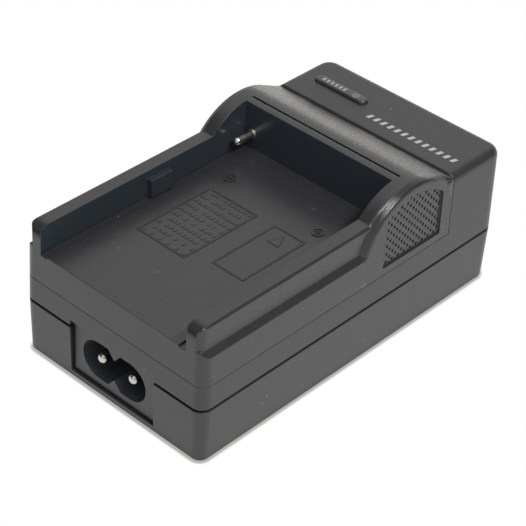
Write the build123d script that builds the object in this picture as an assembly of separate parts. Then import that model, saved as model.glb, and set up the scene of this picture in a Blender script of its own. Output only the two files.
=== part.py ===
from build123d import *
import math
import os

# Camera battery charger: lower tray, upper case with a raised head, battery plate with cradle and arch.
# Millimetres, +Z up, the mains inlet faces -Y, the head is at +Y.

os.makedirs("parts", exist_ok=True)

# Driving sizes of the housing
case_width = 49.0
case_length = 88.2
front_corner_r = 2.4
back_corner_r = 3.6
lower_draft = 1.4
upper_draft = 1.2
wall = 2.0
floor_t = 2.0
foot_edge_r = 0.6

# Heights
gap_bottom = 12.3
gap_height = 0.7
plate_seat = 18.5
head_top = 32.4
head_edge_r = 2.0
cradle_floor = 25.4
wall_top = 31.4
crest_top = 36.15
deck_t = 1.8

# Named clearances
press_fit = 0.02
fit = 0.1
slide_fit = 0.2
loose_fit = 0.4

# Oversize of cutting shapes, and how deep joined shapes run into each other
far = 60.0
root = 0.5

# Places along the length
head_depth = 16.9
arch_depth = 14.6
half_l = case_length / 2
half_w = case_width / 2
front_y = -half_l
head_face_y = half_l - head_depth
head_mid = (head_face_y + half_l) / 2
pocket_back = head_face_y - arch_depth
plate_back = head_face_y - fit

# Cradle
shoulder = 1.4
side_wall = 3.4
rim_half = half_w - shoulder
pocket_half = rim_half - side_wall
wall_front_r = 2.2
post_corner_r = 2.2
rim_bevel = 0.4
skirt_top = cradle_floor + 0.7
channel_w = 1.9
channel_depth = 0.4
plate_wall = 2.4

# Arch over the contact end: a round crown between two lower round cheeks
arch_r = 15.75
arch_y = pocket_back + 1.6
arch_z = crest_top - arch_r
arch_wall = 2.2
crown_edge_r = 0.5
cheek_r = 15.1
cheek_y = arch_y + 0.8
cheek_z = arch_z + 0.4
cheek_edge_r = 0.7
land_sink = 0.5
back_wall_rear = pocket_back + 2.2

# Joint between the two case halves
tongue_h = 2.0
tongue_t = 0.9

# Screws and bosses
screw_d = 2.8
screw_head_d = 5.4
screw_head_h = 2.0
screw_seat = 3.0
screw_tip = 13.0
screw_point = 0.7
recess_w = 0.9
recess_l = 3.0
recess_depth = 1.1
boss_d = 6.0
sleeve_d = 7.6
sleeve_top = 6.4
screw_x = half_w - 6.2
screw_front_y = front_y + 7.1
screw_rear_y = pocket_back - 5.5
screw_places = [(side * screw_x, y) for y in (screw_front_y, screw_rear_y) for side in (-1, 1)]

# Mains inlet, two pins 8.6 mm apart
inlet_x = 0.2
inlet_z = 7.9
inlet_pin_pitch = 8.6
inlet_pin_d = 2.4
inlet_pin_dome = 0.95
inlet_root_d = 3.0
inlet_open_w = 17.4
inlet_open_h = 8.8
inlet_block_w = 22.2
inlet_block_h = 11.8
inlet_recess = 0.9
inlet_depth = 10.0
inlet_back_t = 2.2
inlet_pin_setback = 0.3
notch_w = 3.4
notch_h = 2.0
stop_half = 8.0
stop_y0 = 2.4
stop_y1 = 4.0
stop_depth = 0.5

# Battery contacts
contact_x = pocket_half - 2.0
contact_z = cradle_floor + 3.5
contact_d = 1.8
contact_root_d = 2.4
contact_collar_d = 3.4
contact_reach = 5.1
terminal_t = 0.5
terminal_w = 3.0
terminal_y = back_wall_rear + 0.8
terminal_top = contact_z + 1.1
base_contact_w = 2.4
base_contact_y = pocket_back + 6.5

# Circuit board
board_z = 5.0
board_t = 1.6
board_half_w = half_w - 3.9
board_front = front_y + 15.1
board_back = half_l - 2.7
peg_d = 2.4
peg_rise = 0.8
standoff_d = 5.0
peg_front_x = board_half_w - 6.6
peg_front_y = board_front + 3.5
peg_rear_x = half_w - 6.0
peg_rear_y = board_back - 13.8
peg_front = [(side * peg_front_x, peg_front_y) for side in (-1, 1)]
peg_rear = [(side * peg_rear_x, peg_rear_y) for side in (-1, 1)]
peg_places = peg_front + peg_rear

# Indicator, its window stands a little above the head
lens_x = -(half_w - 11.8)
lens_y = half_l - 9.4
lens_len = 14.2
lens_w = 2.6
lens_rise = 0.7
lens_sink = 0.6
lens_edge_r = 0.5
lens_pad_t = 1.4
lens_pad_edge = 1.2
guide_x = -(half_w - 15.9)
guide_d = 2.4
led_d = 3.0
led_flange_d = 3.8
led_h = 5.4
led_gap = 0.3

# Derived levels
gap_top = gap_bottom + gap_height
gap_mid = gap_bottom + gap_height / 2
deck_under = plate_seat - deck_t
board_top = board_z + board_t
land_z = head_top - land_sink
head_roof = 1.8
inlet_face_y = front_y + inlet_recess
inlet_back_y = inlet_face_y + inlet_depth


def plan(width, length, r_front, r_back):
    """Rounded outline with its own radius at the front and at the back corners."""
    face = Rectangle(width, length)
    face = fillet(face.vertices().sort_by(Axis.Y)[:2], r_front)
    face = fillet(face.vertices().sort_by(Axis.Y)[-2:], r_back)
    return face


def plan_in(inset):
    """Case outline moved inward."""
    r_front = max(front_corner_r - inset, foot_edge_r)
    r_back = max(back_corner_r - inset, foot_edge_r)
    return plan(case_width - 2 * inset, case_length - 2 * inset, r_front, r_back)


def block(x0, x1, y0, y1, z0, z1):
    """Box from its six limits."""
    return Pos((x0 + x1) / 2, (y0 + y1) / 2, (z0 + z1) / 2) * Box(x1 - x0, y1 - y0, z1 - z0)


def rod(x, z, y0, y1, d):
    """Cylinder that lies along Y between two places."""
    return Pos(x, (y0 + y1) / 2, z) * Rot(90, 0, 0) * Cylinder(d / 2, y1 - y0)


def roller(y, z, r, half):
    """Cylinder that lies across the case, to both sides of its middle."""
    return Pos(0, y, z) * Rot(0, 90, 0) * Cylinder(r, 2 * half)


def post(x, y, z0, z1, d):
    """Upright cylinder between two levels."""
    return Pos(x, y, (z0 + z1) / 2) * Cylinder(d / 2, z1 - z0)


def prism(inset, z0, z1):
    """Straight prism on the inset case outline."""
    return extrude(Pos(0, 0, z0) * plan_in(inset), amount=z1 - z0)


def capped(face, half, edge):
    """Extrude a side outline to both sides and close each end with a cap bevelled at 45 degrees."""
    core = Pos(-half, 0, 0) * extrude(face, amount=2 * half)
    cap = extrude(Pos(half, 0, 0) * face, amount=edge, taper=45)
    return core + cap + mirror(cap, about=Plane.YZ)


# Lower tray
lower_body = extrude(Pos(0, 0, gap_bottom) * plan_in(0), amount=-gap_bottom, taper=lower_draft)
lower_body = fillet(lower_body.edges().group_by(Axis.Z)[0], foot_edge_r)
tongue = prism(wall - tongue_t, gap_bottom - root, gap_bottom + tongue_h)
lower_case = lower_body + tongue - prism(wall, floor_t, far)
for sx, sy in screw_places:
    lower_case += post(sx, sy, floor_t - root, sleeve_top, sleeve_d)
for px, py in peg_places:
    lower_case += post(px, py, floor_t - root, board_z, standoff_d)
    lower_case += post(px, py, board_z - root, board_top + peg_rise, peg_d)
for sx, sy in screw_places:
    lower_case -= post(sx, sy, -far, screw_seat, screw_head_d + 2 * slide_fit)
    lower_case -= post(sx, sy, screw_seat - root, far, screw_d + 2 * slide_fit)

# Seat of the inlet block, shared by both case halves
inlet_left = inlet_x - inlet_block_w / 2
inlet_right = inlet_x + inlet_block_w / 2
inlet_low = inlet_z - inlet_block_h / 2
inlet_high = inlet_z + inlet_block_h / 2
inlet_cut = block(
    inlet_left - loose_fit, inlet_right + loose_fit, -far, front_y + wall + foot_edge_r,
    inlet_low - loose_fit, inlet_high + loose_fit)
lower_case -= inlet_cut
rest_rib_t = 1.6
rest_rib_y = inlet_back_y - 3.0
back_rib_t = 1.4
lower_case += block(inlet_left, inlet_right, rest_rib_y, rest_rib_y + rest_rib_t, floor_t - root, inlet_low)
lower_case += block(
    inlet_left, inlet_right, inlet_back_y, inlet_back_y + back_rib_t, floor_t - root, board_z - loose_fit)

# Upper envelope with draft, cut by both upper mouldings
envelope_h = max(crest_top, head_top) + wall - gap_mid
envelope = extrude(Pos(0, 0, gap_mid) * plan_in(0), amount=envelope_h, taper=upper_draft)

# Upper case: band, deck and head
head_front_bevel = 0.3
band_bevel = 0.2
head = envelope & block(-far, far, head_face_y, far, gap_top, head_top)
head_edges = [e for e in head.edges().group_by(Axis.Z)[-1] if e.center().Y > head_face_y + root]
head = fillet(head_edges, head_edge_r)
head = chamfer(head.edges().filter_by(Axis.X).group_by(Axis.Z)[-1].sort_by(Axis.Y)[0], head_front_bevel)
band = envelope & block(-far, far, -far, far, gap_top, plate_seat)
band_edges = [e for e in band.edges().group_by(Axis.Z)[-1] if e.center().Y < head_face_y]
band = chamfer(band_edges, band_bevel)
upper_case = band + head
upper_case -= prism(wall, gap_top - root, deck_under)
upper_case -= prism(wall - tongue_t - fit, gap_top - root, gap_bottom + tongue_h)
head_room = prism(wall + root, gap_top, head_top - head_roof)
upper_case -= head_room & block(-far, far, head_face_y + head_roof, far, 0, far)
for sx, sy in screw_places:
    upper_case += post(sx, sy, sleeve_top, deck_under + root, boss_d)
for sx, sy in screw_places:
    upper_case -= post(sx, sy, sleeve_top - root, screw_tip + 2 * root, screw_d + 2 * press_fit)
upper_case -= inlet_cut
upper_case += block(
    inlet_x - stop_half, inlet_x + stop_half, inlet_face_y + stop_y0, inlet_face_y + stop_y1,
    inlet_high - stop_depth, deck_under + root)

# Slots of the deck for the plate's snap hooks and for the sprung contacts
hook_w = 5.0
hook_t = 1.2
barb = 0.7
barb_h = 1.2
hook_x = half_w - 3.6
hook_front_y = front_y + 17.1
hook_rear_y = pocket_back - 19.5
hook_places = [(side, y) for y in (hook_front_y, hook_rear_y) for side in (-1, 1)]
hook_room = hook_t / 2 + barb + slide_fit
for side, hy in hook_places:
    hx = side * hook_x
    upper_case -= block(
        hx - hook_room, hx + hook_room, hy - hook_w / 2 - slide_fit, hy + hook_w / 2 + slide_fit,
        deck_under - root, plate_seat + root)
contact_slot = terminal_w / 2 + loose_fit
contact_slot_l = 2.0
contact_slot_y0 = base_contact_y - contact_slot_l
contact_slot_y1 = base_contact_y + contact_slot_l
for cx in (-contact_x, contact_x):
    upper_case -= block(
        cx - contact_slot, cx + contact_slot, contact_slot_y0, contact_slot_y1,
        deck_under - root, plate_seat + root)

# Window of the indicator in the head, over a thicker pad
lens_seat = head_top - lens_sink
lens_pad_face = SlotOverall(lens_len + 2 * lens_pad_edge, lens_w + 2 * lens_pad_edge)
lens_pad = extrude(lens_pad_face, amount=lens_pad_t)
upper_case += Pos(lens_x, lens_y, lens_seat - lens_pad_t) * lens_pad
upper_case -= Pos(lens_x, lens_y, lens_seat) * extrude(SlotOverall(lens_len, lens_w), amount=far)
upper_case -= post(guide_x, lens_y, lens_seat - far / 4, head_top, guide_d + 2 * slide_fit)

# Battery plate: skirt with a bevelled shoulder, cradle walls, crown, cheeks and the land behind them
plate_limits = block(-far, far, -far, plate_back, plate_seat, far)
skirt_low = plate_seat - wall
skirt_face = Pos(0, (skirt_low + skirt_top) / 2) * Rectangle(2 * far, skirt_top - skirt_low)
skirt = capped(Plane.YZ * skirt_face, rim_half, shoulder)

wall_line = [
    Line((front_y, plate_seat), (front_y, wall_top - wall_front_r)),
    TangentArc((front_y, wall_top - wall_front_r), (front_y + wall_front_r, wall_top), tangent=(0, 1)),
    Line((front_y + wall_front_r, wall_top), (arch_y, wall_top)),
    Line((arch_y, wall_top), (arch_y, plate_seat)),
    Line((arch_y, plate_seat), (front_y, plate_seat)),
]
side_walls = capped(Plane.YZ * make_face(wall_line), rim_half - rim_bevel, rim_bevel)
wall_plan = (Pos(0, front_y + far / 2) * Rectangle(2 * rim_half, far)).face()
wall_plan = fillet(wall_plan.vertices().sort_by(Axis.Y)[:2], post_corner_r)
side_walls &= extrude(Pos(0, 0, plate_seat) * wall_plan, amount=far)

crown = roller(arch_y, arch_z, arch_r, rim_half)
crown = fillet(crown.edges().filter_by(GeomType.CIRCLE), crown_edge_r)

tilt = math.radians(upper_draft)
outward = (math.cos(tilt), 0, math.sin(tilt))
side_plane = Plane(origin=(half_w, 0, gap_mid), x_dir=(0, 1, 0), z_dir=outward)
cheek_axis = Pos(cheek_y, cheek_z - gap_mid)
cheek = extrude(side_plane * (cheek_axis * Circle(cheek_r)), amount=-(shoulder + root))
cheek = fillet(cheek.edges().filter_by(GeomType.CIRCLE).sort_by(Axis.X)[-1], cheek_edge_r)

land = envelope & block(-far, far, cheek_y, plate_back, plate_seat, land_z)
land = fillet(land.edges().filter_by(Axis.Y, tolerance=1).group_by(Axis.Z)[-1], cheek_edge_r)

battery_plate = skirt + side_walls + crown + cheek + mirror(cheek, about=Plane.YZ)
battery_plate &= envelope
battery_plate &= plate_limits
battery_plate += land
battery_plate -= block(-pocket_half, pocket_half, -far, pocket_back, cradle_floor, far)

# Channels along the cradle floor and the guide lugs
lug_out = 1.3
lug_y0 = pocket_back - 28.1
lug_y1 = pocket_back - 22.2
lug_top = wall_top - 1.8
channel_floor = cradle_floor - channel_depth
for side in (-1, 1):
    channel = block(pocket_half - channel_w, pocket_half, -far, pocket_back, channel_floor, far)
    lug = block(pocket_half - lug_out, pocket_half + root, lug_y0, lug_y1, channel_floor - root, lug_top)
    battery_plate -= Pos((side - 1) * (pocket_half - channel_w / 2), 0, 0) * channel
    battery_plate += Pos((side - 1) * (pocket_half - (lug_out - root) / 2), 0, 0) * lug

# Bead and groove along the front of the arch
bead_w = 1.7
groove_w = 0.6
groove_depth = 0.6
groove_half = pocket_half + slide_fit
groove_y = pocket_back + bead_w
groove_floor = crest_top - groove_depth
battery_plate -= block(-groove_half, groove_half, groove_y, groove_y + groove_w, groove_floor, far)

# Hollow underside
plate_floor_t = 2.0
under = prism(plate_wall, plate_seat - root, channel_floor - plate_floor_t)
battery_plate -= under & block(-far, far, -far, back_wall_rear, 0, far)
arch_room_half = rim_half - 1.6
arch_room = roller(arch_y, arch_z, arch_r - arch_wall, arch_room_half)
battery_plate -= arch_room & block(-far, far, back_wall_rear, plate_back - wall, plate_seat - root, far)
core_half = 0.5
core_mid = (pocket_half + rim_half) / 2
for side in (-1, 1):
    cx = side * core_mid
    battery_plate -= block(
        cx - core_half, cx + core_half, front_y + 2 * wall, pocket_back - wall,
        plate_seat + 2 * root, wall_top - wall)

# Grilles on both cheeks: a sunk panel with staggered upright slots
grille_sink = 0.45
grille_r = cheek_r - 2.0
grille_front = arch_y - 7.8
grille_rear = plate_back - 3.0
grille_low = plate_seat + 1.6
grille_mid = (grille_front + grille_rear) / 2
grille_box = Pos(grille_mid, grille_low + far / 2 - gap_mid) * Rectangle(grille_rear - grille_front, far)
grille_face = (cheek_axis * Circle(grille_r)) & grille_box
sunk = extrude(side_plane.offset(wall) * grille_face, amount=-(wall + grille_sink))
battery_plate -= sunk
battery_plate -= mirror(sunk, about=Plane.YZ)

slot_w = 0.52
slot_h = 0.68
slot_pitch_y = 1.86
slot_pitch_z = 0.95
slot_margin = 0.12
slot_start_y = grille_front + 0.4
slot_start_z = grille_low + 0.75


def slot_fits(y, z):
    """True where a slot lies inside the sunk panel with a margin all round."""
    reach_y = slot_w / 2 + slot_margin
    reach_z = slot_h / 2 + slot_margin
    from_axis = math.hypot(abs(y - cheek_y) + reach_y, max(z + reach_z - cheek_z, 0))
    return y - reach_y > grille_front and y + reach_y < grille_rear and from_axis < grille_r


slot_rows = int((cheek_z + grille_r - slot_start_z) / slot_pitch_z) + 1
slot_columns = int((grille_rear - grille_front) / slot_pitch_y) + 1
slot_places = [
    (slot_start_y + (column + (row + 1) % 2 / 2) * slot_pitch_y, slot_start_z + row * slot_pitch_z)
    for row in range(slot_rows) for column in range(slot_columns)]
slot_in = arch_room_half - root
slot_shape = block(slot_in, half_w + wall, -slot_w / 2, slot_w / 2, -slot_h / 2, slot_h / 2)
slots = [Pos(0, y, z) * slot_shape for y, z in slot_places if slot_fits(y, z)]
slot_cut = Part() + slots
battery_plate -= slot_cut
battery_plate -= mirror(slot_cut, about=Plane.YZ)

# Snap hooks under the plate
hook_end = deck_under - 1.6
toe_end = deck_under - barb_h
for side, hy in hook_places:
    hx = side * hook_x
    toe_x = hx + side * barb
    hook_y0 = hy - hook_w / 2
    hook_y1 = hy + hook_w / 2
    hook_root = channel_floor - root
    battery_plate += block(hx - hook_t / 2, hx + hook_t / 2, hook_y0, hook_y1, hook_end, hook_root)
    battery_plate += block(toe_x - hook_t / 2, toe_x + hook_t / 2, hook_y0, hook_y1, toe_end, deck_under)

# Holes of the contact pins in the back wall
contact_hole_d = contact_root_d + 2 * press_fit
for cx in (-contact_x, contact_x):
    battery_plate -= rod(cx, contact_z, pocket_back - wall, back_wall_rear + root, contact_hole_d)

# Raised frames and direction mark on the cradle floor
mark_h = 0.15
mark_w = 0.35
frame_left = (-13.1, 0.1, pocket_back - 37.4, pocket_back - 16.8)
frame_right = (4.6, 12.8, pocket_back - 34.4, pocket_back - 16.6)
pointer_x = 8.7
pointer_half = 1.5
pointer_y0 = pocket_back - 21.6
pointer_y1 = pocket_back - 18.4


def frame_mark(x0, x1, y0, y1):
    """Thin raised rectangle on the cradle floor."""
    outer = block(x0, x1, y0, y1, cradle_floor - root, cradle_floor + mark_h)
    inner = block(x0 + mark_w, x1 - mark_w, y0 + mark_w, y1 - mark_w, cradle_floor, far)
    return outer - inner


battery_plate += frame_mark(*frame_left)
battery_plate += frame_mark(*frame_right)
pointer_line = Polyline(
    (pointer_x - pointer_half, pointer_y0), (pointer_x + pointer_half, pointer_y0), (pointer_x, pointer_y1),
    close=True)
battery_plate += Pos(0, 0, cradle_floor - root) * extrude(make_face(pointer_line), amount=root + mark_h)

# Inlet block with the figure-8 opening
inlet_open = SlotOverall(inlet_open_w, inlet_open_h)
for side in (-1, 1):
    tip = side * (inlet_open_h / 2 - notch_h)
    mouth = side * (inlet_open_h / 2 + press_fit)
    inlet_open -= make_face(Polyline((-notch_w / 2, mouth), (notch_w / 2, mouth), (0, tip), close=True))
inlet_front = Plane(origin=(inlet_x, inlet_face_y, inlet_z), x_dir=(1, 0, 0), z_dir=(0, 1, 0))
inlet_block = block(inlet_left, inlet_right, inlet_face_y, inlet_back_y, inlet_low, inlet_high)
inlet_block -= extrude(inlet_front * inlet_open, amount=inlet_depth - inlet_back_t)
pin_places = [inlet_x - inlet_pin_pitch / 2, inlet_x + inlet_pin_pitch / 2]
pin_root_y = inlet_back_y - inlet_back_t
for px in pin_places:
    inlet_block -= rod(px, inlet_z, pin_root_y - root, inlet_back_y + root, inlet_root_d + 2 * press_fit)
inlet_block -= block(
    inlet_x - stop_half - fit, inlet_x + stop_half + fit,
    inlet_face_y + stop_y0 - fit, inlet_face_y + stop_y1 + fit, inlet_high - stop_depth - fit, far)

# Mains pins: round, with domed tips and bent tails that stand on the board
pin_tip_y = inlet_face_y + inlet_pin_setback
tail_y = board_front + 1.6
tail_d = 1.3


def mains_pin(x):
    """One inlet pin."""
    shaft = rod(x, inlet_z, pin_tip_y, pin_root_y, inlet_pin_d)
    shaft = fillet(shaft.edges().filter_by(GeomType.CIRCLE).sort_by(Axis.Y)[0], inlet_pin_dome)
    head = rod(x, inlet_z, pin_root_y, inlet_back_y + root, inlet_root_d)
    tail = rod(x, inlet_z, inlet_back_y, tail_y, tail_d)
    knee = Pos(x, tail_y, inlet_z) * Sphere(tail_d / 2)
    return shaft + head + tail + knee + post(x, tail_y, board_top, inlet_z, tail_d)


inlet_pins = Part() + [mains_pin(x) for x in pin_places]


def battery_pin(x):
    """One contact pin with a domed tip and a collar behind the cradle's back wall."""
    r = contact_d / 2
    tip_y = pocket_back - contact_reach
    shaft = rod(x, contact_z, tip_y + r, pocket_back, contact_d)
    neck = rod(x, contact_z, pocket_back, back_wall_rear, contact_root_d)
    collar = rod(x, contact_z, back_wall_rear, terminal_y, contact_collar_d)
    return shaft + neck + collar + Pos(x, tip_y + r, contact_z) * Sphere(r)


# Battery contact pins, strips of the plate and sprung strips of the base
contact_pins = Part() + [battery_pin(side * contact_x) for side in (-1, 1)]
foot_z = plate_seat + 1.6
foot_l = 2.4
pad_l = 1.6
base_foot_l = 2.0


def plate_terminal(x):
    """Strip from a contact pin down to a foot over the base contact."""
    half = terminal_w / 2
    upright = block(x - half, x + half, terminal_y, terminal_y + terminal_t, foot_z, terminal_top)
    foot = block(x - half, x + half, terminal_y, base_contact_y + foot_l, foot_z, foot_z + terminal_t)
    return upright + foot


plate_terminals = Part() + [plate_terminal(side * contact_x) for side in (-1, 1)]


def base_contact(x):
    """Sprung strip from the board through the deck to the plate's foot."""
    half = base_contact_w / 2
    y0 = base_contact_y - terminal_t / 2
    stem = block(x - half, x + half, y0, y0 + terminal_t, board_top, foot_z - terminal_t / 2)
    pad = block(x - half, x + half, y0, base_contact_y + pad_l, foot_z - terminal_t, foot_z)
    foot = block(x - half, x + half, y0, base_contact_y + base_foot_l, board_top, board_top + terminal_t)
    return stem + pad + foot


base_contacts = Part() + [base_contact(side * contact_x) for side in (-1, 1)]


def case_screw(x, y):
    """One screw with a cross recess, head down."""
    bottom = screw_seat - screw_head_h
    head = post(x, y, bottom, screw_seat, screw_head_d)
    shank = post(x, y, screw_seat - root, screw_tip, screw_d)
    shank = chamfer(shank.edges().filter_by(GeomType.CIRCLE).sort_by(Axis.Z)[-1], screw_point)
    bar = Pos(x, y, bottom) * Box(recess_l, recess_w, 2 * recess_depth)
    cross = Pos(x, y, bottom) * Box(recess_w, recess_l, 2 * recess_depth)
    return head + shank - bar - cross


case_screws = Part() + [case_screw(x, y) for x, y in screw_places]

# Circuit board, cut round the rear bosses, on four pegs
boss_gap = 0.5
circuit_board = block(-board_half_w, board_half_w, board_front, board_back, board_z, board_top)
for sx, sy in screw_places:
    circuit_board -= post(sx, sy, 0, far, sleeve_d + 2 * boss_gap)
for px, py in peg_places:
    circuit_board -= post(px, py, 0, far, peg_d + 2 * slide_fit)


def axial(x, y, body_l, body_d, span, lead_d, lift):
    """Part with a lying body and two bent leads that stand on the board, along X."""
    z = board_top + lift
    body = Pos(x, y, z) * Rot(0, 90, 0) * Cylinder(body_d / 2, body_l)
    lead = Pos(x, y, z) * Rot(0, 90, 0) * Cylinder(lead_d / 2, span + lead_d)
    legs = [post(x + s * span / 2, y, board_top, z, lead_d) for s in (-1, 1)]
    return body + lead + legs


chip_lift = 0.5
chip_bevel = 0.4
chip_lead_w = 0.5
chip_lead_t = 0.3
chip_shoulder = 1.4
chip_leg_out = 0.5


def chip(x, y, body_x, body_y, body_z, leads, lead_pitch):
    """Moulded chip with two rows of leads along X."""
    bottom = board_top + chip_lift
    shoulder_z = board_top + chip_shoulder
    body = Pos(x, y, bottom + body_z / 2) * Box(body_x, body_y, body_z)
    body = chamfer(body.edges().group_by(Axis.Z)[-1], chip_bevel)
    half = body_y / 2 + chip_leg_out
    legs = []
    for i in range(leads):
        lx = x + (i - (leads - 1) / 2) * lead_pitch
        x0 = lx - chip_lead_w / 2
        x1 = lx + chip_lead_w / 2
        legs.append(block(x0, x1, y - half, y + half, shoulder_z - chip_lead_t, shoulder_z))
        legs.append(block(x0, x1, y - half, y - half + chip_lead_t, board_top, shoulder_z))
        legs.append(block(x0, x1, y + half - chip_lead_t, y + half, board_top, shoulder_z))
    return body + legs


can_edge = 0.5
crimp_z = 1.6
crimp_w = 0.8
crimp_depth = 0.3
vent_w = 0.3


def can(x, y, d, h):
    """Upright electrolytic capacitor with a crimped foot and a vented top."""
    top = board_top + h
    body = post(x, y, board_top, top, d)
    body = chamfer(body.edges().filter_by(GeomType.CIRCLE), can_edge)
    ring = post(x, y, board_top + crimp_z, board_top + crimp_z + crimp_w, d + 1)
    body -= ring - post(x, y, board_top, top, d - 2 * crimp_depth)
    body -= Pos(x, y, top) * Box(2 * d / 3, vent_w, 2 * vent_w)
    body -= Pos(x, y, top) * Box(vent_w, 2 * d / 3, 2 * vent_w)
    return body


# Mains side of the board, placed from its front edge
fuse = axial(-(half_w - 10.0), board_front + 8.5, 7.2, 3.0, 10.2, 0.7, 2.4)
film_x = 2.1
film_y = board_front + 5.6
film_size = (13.0, 5.2, 8.8)
film_edge_r = 0.6
suppression_capacitor = Pos(film_x, film_y, board_top + film_size[2] / 2) * Box(*film_size)
suppression_capacitor = chamfer(suppression_capacitor.edges().filter_by(Axis.Z), film_edge_r)
suppression_capacitor = chamfer(suppression_capacitor.edges().group_by(Axis.Z)[-1], film_edge_r)
choke_x = -(half_w - 11.0)
choke_y = board_front + 15.1
choke_d = 8.0
choke_core_d = 7.0
choke_h = 8.4
choke_flange = 1.3
choke_top = board_top + choke_h
input_choke = post(choke_x, choke_y, board_top, choke_top, choke_core_d)
input_choke += post(choke_x, choke_y, board_top, board_top + choke_flange, choke_d)
input_choke += post(choke_x, choke_y, choke_top - choke_flange, choke_top, choke_d)
diode_x = 0.9
diode_y = board_front + 10.6
diode_pitch = 3.5
diode_rows = [diode_y + i * diode_pitch for i in range(4)]
bridge_diodes = Part() + [axial(diode_x, y, 5.2, 2.7, 9.0, 0.8, 1.6) for y in diode_rows]
bulk_d = 10.0
bulk_h = head_top - board_top - 5.8
bulk_capacitor = can(-(half_w - 8.6), head_mid + 0.35, bulk_d, bulk_h)

# Transformer: E cores round a bobbin, upright in the head
core_w = 17.0
core_d = 6.0
core_leg = 3.2
core_mid_leg = 5.2
yoke = 3.0
window_h = head_top - board_top - 16.2
tf_x = half_w - 15.4
tf_y = head_mid - 0.25
core_z = board_top + 1.4
core_top = core_z + 2 * yoke + window_h
window_w = (core_w - 2 * core_leg - core_mid_leg) / 2
tube_t = 0.8
tube_in = core_mid_leg / 2 + fit
tube_out = tube_in + tube_t
tube_in_y = core_d / 2 + fit
tube_out_y = tube_in_y + tube_t
flange = core_w / 2 - core_leg - 0.3
flange_y = core_d / 2 + 3.0
flange_t = 1.0
bob_z0 = core_z + yoke + fit
bob_z1 = core_z + yoke + window_h - fit
rail_half = core_w / 2 - fit
rail_y = core_d / 2 + 1.7
rail_t = 1.3
wind_x = flange - 0.4
wind_y = flange_y - 0.7
wind_corner_r = 1.6


def tf_block(half_x, half_y, z0, z1):
    """Box on the transformer's own axis."""
    return Pos(tf_x, tf_y, (z0 + z1) / 2) * Box(2 * half_x, 2 * half_y, z1 - z0)


transformer_core = tf_block(core_w / 2, core_d / 2, core_z, core_top)
for side in (-1, 1):
    window = tf_block(window_w / 2, core_d, core_z + yoke, core_z + yoke + window_h)
    transformer_core -= Pos(side * (core_mid_leg + window_w) / 2, 0, 0) * window
transformer_bobbin = tf_block(tube_out, tube_out_y, bob_z0, bob_z1)
transformer_bobbin += tf_block(flange, flange_y, bob_z0, bob_z0 + flange_t)
transformer_bobbin += tf_block(flange, flange_y, bob_z1 - flange_t, bob_z1)
bobbin_rail = tf_block(rail_half, rail_t, board_top, bob_z0 + flange_t)
for side in (-1, 1):
    transformer_bobbin += Pos(0, side * rail_y, 0) * bobbin_rail
transformer_bobbin -= tf_block(tube_in, tube_in_y, 0, far)
transformer_winding = tf_block(wind_x, wind_y, bob_z0 + flange_t, bob_z1 - flange_t)
transformer_winding = fillet(transformer_winding.edges().filter_by(Axis.Z), wind_corner_r)
transformer_winding -= tf_block(tube_out, tube_out_y, 0, far)

# Low-voltage side of the board, placed from the cradle's back wall
switching_controller = chip(-4.6, pocket_back - 5.5, 9.6, 6.3, 3.3, 4, 2.54)
charge_controller = chip(6.0, pocket_back - 5.6, 9.9, 3.9, 1.5, 7, 1.27)
output_capacitor = can(1.2, pocket_back + 2.6, 8.0, 9.0)
optocoupler = chip(-9.0, pocket_back + 6.5, 4.6, 6.3, 3.3, 2, 2.54)
output_diode = axial(half_w - 11.9, pocket_back + 10.9, 8.0, 4.4, 13.0, 1.1, 2.6)
resistor_x = board_half_w - 5.6
resistor_places = [
    (resistor_x, board_front + 14.0), (resistor_x, board_front + 18.0),
    (half_w - 11.5, pocket_back - 0.1), (-3.0, pocket_back + 11.1)]
resistors = Part() + [axial(x, y, 6.0, 2.2, 9.4, 0.6, 1.4) for x, y in resistor_places]

# Indicator: lamp on the board, guide and window in the head
led_shoulder = board_top + led_h - led_d / 2
led_flange_h = 1.0
indicator_led = post(guide_x, lens_y, board_top, led_shoulder, led_d)
indicator_led += Pos(guide_x, lens_y, led_shoulder) * Sphere(led_d / 2)
indicator_led += post(guide_x, lens_y, board_top, board_top + led_flange_h, led_flange_d)
lens_outline = SlotOverall(lens_len - 2 * fit, lens_w - 2 * fit)
lens_body = Pos(lens_x, lens_y, lens_seat) * extrude(lens_outline, amount=lens_sink + lens_rise)
lens_body = fillet(lens_body.edges().group_by(Axis.Z)[-1], lens_edge_r)
indicator_lens = lens_body + post(guide_x, lens_y, board_top + led_h + led_gap, lens_seat + root, guide_d)

# One file for each node
nodes = {
    "lower_case": lower_case,
    "upper_case": upper_case,
    "battery_plate": battery_plate,
    "inlet_block": inlet_block,
    "inlet_pins": inlet_pins,
    "contact_pins": contact_pins,
    "plate_terminals": plate_terminals,
    "base_contacts": base_contacts,
    "case_screws": case_screws,
    "circuit_board": circuit_board,
    "fuse": fuse,
    "suppression_capacitor": suppression_capacitor,
    "input_choke": input_choke,
    "bridge_diodes": bridge_diodes,
    "bulk_capacitor": bulk_capacitor,
    "switching_controller": switching_controller,
    "transformer_core": transformer_core,
    "transformer_bobbin": transformer_bobbin,
    "transformer_winding": transformer_winding,
    "output_diode": output_diode,
    "output_capacitor": output_capacitor,
    "optocoupler": optocoupler,
    "charge_controller": charge_controller,
    "resistors": resistors,
    "indicator_led": indicator_led,
    "indicator_lens": indicator_lens,
}
for name, shape in nodes.items():
    export_step(shape, f"parts/{name}.step")
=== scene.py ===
import math

import bmesh
import bpy
from bpy.props import FloatProperty, FloatVectorProperty, IntProperty, PointerProperty
from mathutils import Matrix, Vector


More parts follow.
